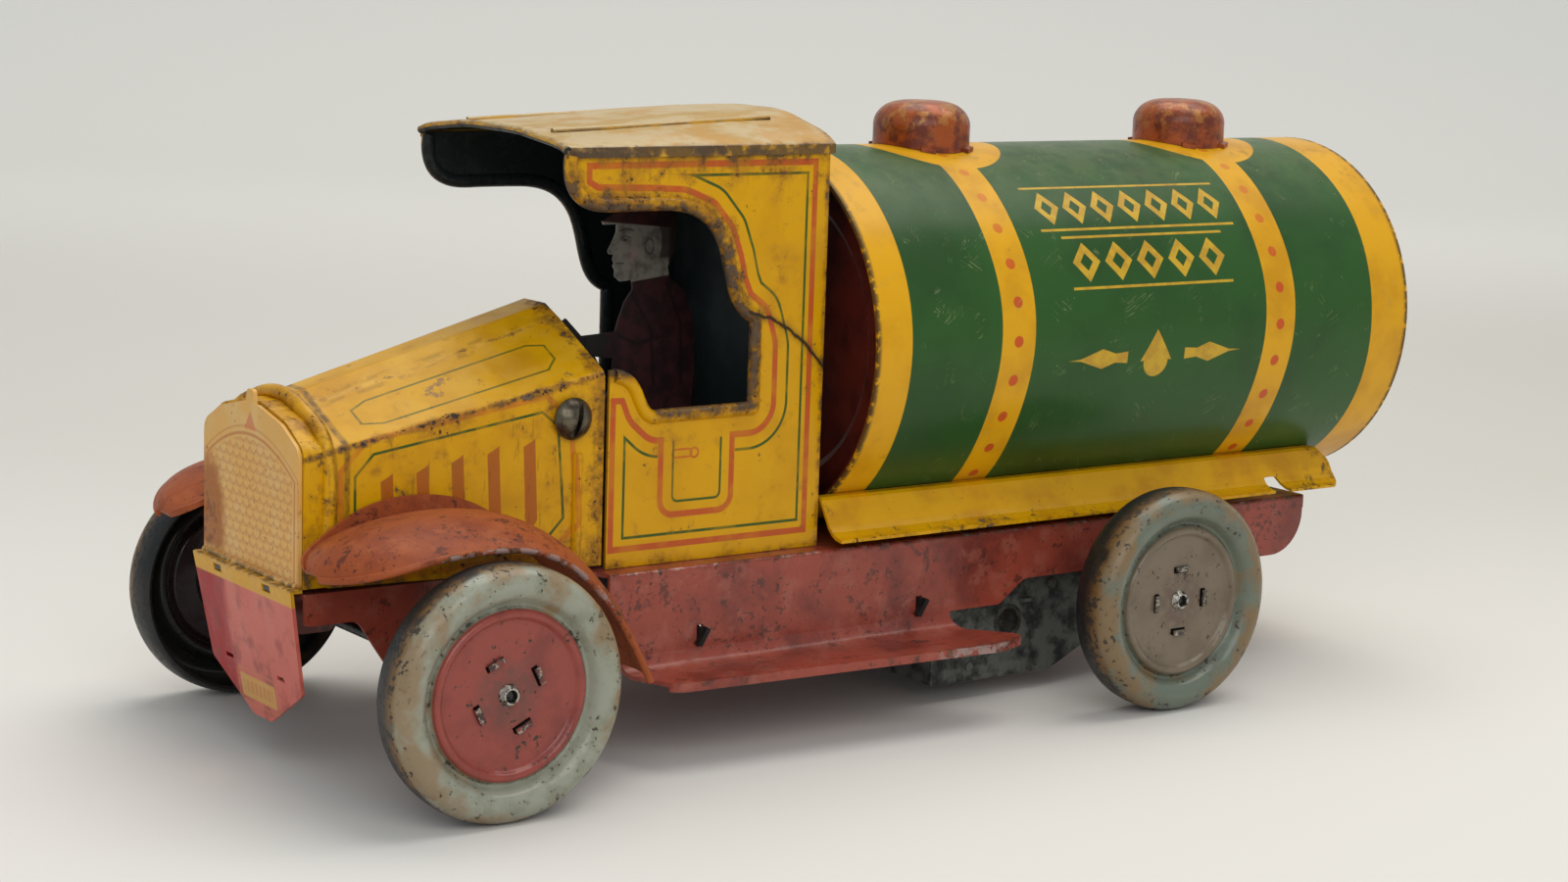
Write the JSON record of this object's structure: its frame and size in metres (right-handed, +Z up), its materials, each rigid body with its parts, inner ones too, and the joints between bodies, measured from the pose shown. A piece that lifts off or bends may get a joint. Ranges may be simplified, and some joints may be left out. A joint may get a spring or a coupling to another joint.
{
  "type": "tin toy tanker truck",
  "caption": "Lithographed tin clockwork tanker truck with C-cab, flat driver, sloped hood, round tank with domed filler caps, running boards and pressed tin wheels.",
  "frame": {"origin": "on the ground, under the middle of the truck's outline", "axes": "+X towards the rear of the truck, +Y to the truck's right, +Z up; the truck drives towards -X"},
  "size_m": [0.2658, 0.113, 0.1217],
  "materials": {
    "chassis_red": "glossy lithographed tin",
    "fender_orange": "glossy lithographed tin, worn edge",
    "litho_yellow": "glossy lithographed tin",
    "radiator_ochre": "lithographed tin with red shield",
    "litho_green": "glossy lithographed tin",
    "tank_end_red": "dull painted tin",
    "cap_brown": "lacquered tin",
    "tyre_grey_red": "glossy painted tin, red disc",
    "tyre_grey_taupe": "glossy painted tin, taupe disc",
    "driver_print": "lithographed tin",
    "cab_inside": "dark back of the sheet",
    "strap_black": "black japan",
    "screw_steel": "tarnished",
    "motor_steel": "dull",
    "axle_steel": "dark",
    "spring_steel": "blued",
    "gear_brass": "dull"
  },
  "bodies": {
    "truck_body": {"chassis_pan": "chassis_red", "cross_straps": "strap_black", "front_fender_left": "fender_orange", "front_fender_right": "fender_orange", "radiator_shield": "radiator_ochre", "hood": "litho_yellow", "hood_screws": "screw_steel", "hood_nuts": "screw_steel", "cab_side_left": "litho_yellow", "cab_side_right": "litho_yellow", "cab_roof": "litho_yellow", "cab_back": "cab_inside", "driver_figure": "driver_print", "tank_shell": "litho_green", "tank_front_end": "tank_end_red", "tank_rear_end": "tank_end_red", "filler_cap_front": "cap_brown", "filler_cap_rear": "cap_brown", "tank_bed": "litho_yellow", "motor_frame": "motor_steel", "motor_pillars": "motor_steel", "mainspring": "spring_steel"},
    "front_axle_set": {"front_axle": "axle_steel", "wheel_front_left": "tyre_grey_red", "wheel_front_right": "tyre_grey_red", "hub_plate_front_left": "axle_steel", "hub_plate_front_right": "axle_steel"},
    "rear_axle_set": {"rear_axle": "axle_steel", "wheel_rear_left": "tyre_grey_taupe", "wheel_rear_right": "tyre_grey_taupe", "hub_plate_rear_left": "axle_steel", "hub_plate_rear_right": "axle_steel", "axle_pinion": "gear_brass"},
    "middle_set": {"middle_arbor": "axle_steel", "middle_wheel": "gear_brass"},
    "great_wheel_set": {"great_wheel": "gear_brass"},
    "click_set": {"click": "axle_steel"},
    "winding_set": {"winding_arbor": "axle_steel", "ratchet_wheel": "axle_steel", "winding_key": "axle_steel"}
  },
  "joints": [
    {"name": "front_axle_spin", "type": "hinge", "parent": "truck_body", "child": "front_axle_set", "pos_m": [-0.10635, 0, 0.023], "axis": [0, 1, 0], "continuous": true},
    {"name": "rear_axle_spin", "type": "hinge", "parent": "truck_body", "child": "rear_axle_set", "pos_m": [0.05245, 0, 0.023], "axis": [0, 1, 0], "continuous": true},
    {"name": "middle_spin", "type": "hinge", "parent": "truck_body", "child": "middle_set", "pos_m": [0.04121, 0, 0.02258], "axis": [0, 1, 0], "continuous": true},
    {"name": "great_wheel_spin", "type": "hinge", "parent": "truck_body", "child": "great_wheel_set", "pos_m": [0.02965, 0, 0.0156], "axis": [0, 1, 0], "continuous": true},
    {"name": "key_wind", "type": "hinge", "parent": "truck_body", "child": "winding_set", "pos_m": [0.02965, 0, 0.0156], "axis": [0, 1, 0], "continuous": true},
    {"name": "click_tilt", "type": "hinge", "parent": "great_wheel_set", "child": "click_set", "pos_m": [0.02705, 0, 0.00846], "axis": [0, 1, 0], "range_deg": [0, 18]}
  ],
  "couplings": [
    {"joint": "middle_spin", "follows": "rear_axle_spin", "ratio": -0.36364},
    {"joint": "great_wheel_spin", "follows": "rear_axle_spin", "ratio": 0.1039}
  ]
}
